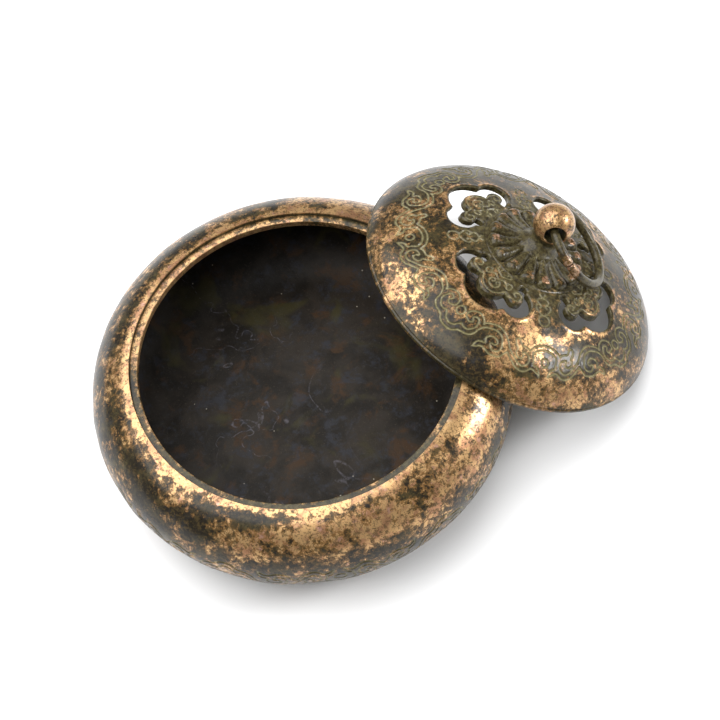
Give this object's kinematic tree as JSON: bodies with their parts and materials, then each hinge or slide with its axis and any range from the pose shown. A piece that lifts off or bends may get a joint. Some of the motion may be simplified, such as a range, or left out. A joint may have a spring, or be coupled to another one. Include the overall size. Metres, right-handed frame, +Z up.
{
  "type": "inkwell",
  "caption": "Squat round bronze pot of inkwell size with an incurved shoulder, and a pierced domed lid with a flower boss, ball knob and loose ring, leaning on its rim.",
  "frame": {"origin": "centre of the foot ring's underside, on the bowl's axis", "axes": "+Z up along the bowl's axis, +X the way the lid leans off the bowl"},
  "size_m": [0.18, 0.13, 0.0572],
  "materials": {
    "bowl_bronze": "dark patina rubbed through to copper-gold, satin",
    "seat_bronze": "turned face, dull gold and olive",
    "foot_bronze": "dark brown patina",
    "lid_bronze": "speckled patina with olive-filled engraving",
    "boss_bronze": "dark olive in the recesses, worn tips",
    "knob_bronze": "rubbed smooth gold-brown",
    "rivet_bronze": "dull brown",
    "ring_bronze": "worn grey-olive wire"
  },
  "bodies": {
    "bowl": {"bowl_shell": "bowl_bronze", "seat_ring": "seat_bronze", "foot_ring": "foot_bronze"},
    "lid": {"lid_dome": "lid_bronze", "flower_boss": "boss_bronze", "ball_knob": "knob_bronze", "rivet_washer": "rivet_bronze"},
    "ring": {"knob_ring": "ring_bronze"}
  },
  "joints": [
    {"name": "lid_lift", "type": "slide", "parent": "bowl", "child": "lid", "axis": [0, 0, 1], "range_m": [0, 0.06]},
    {"name": "ring_swing", "type": "hinge", "parent": "lid", "child": "ring", "pos_m": [0.08719, -0.00075, 0.05082], "axis": [-0.4252, -0.876, 0.2277], "range_deg": [0, 235]}
  ]
}
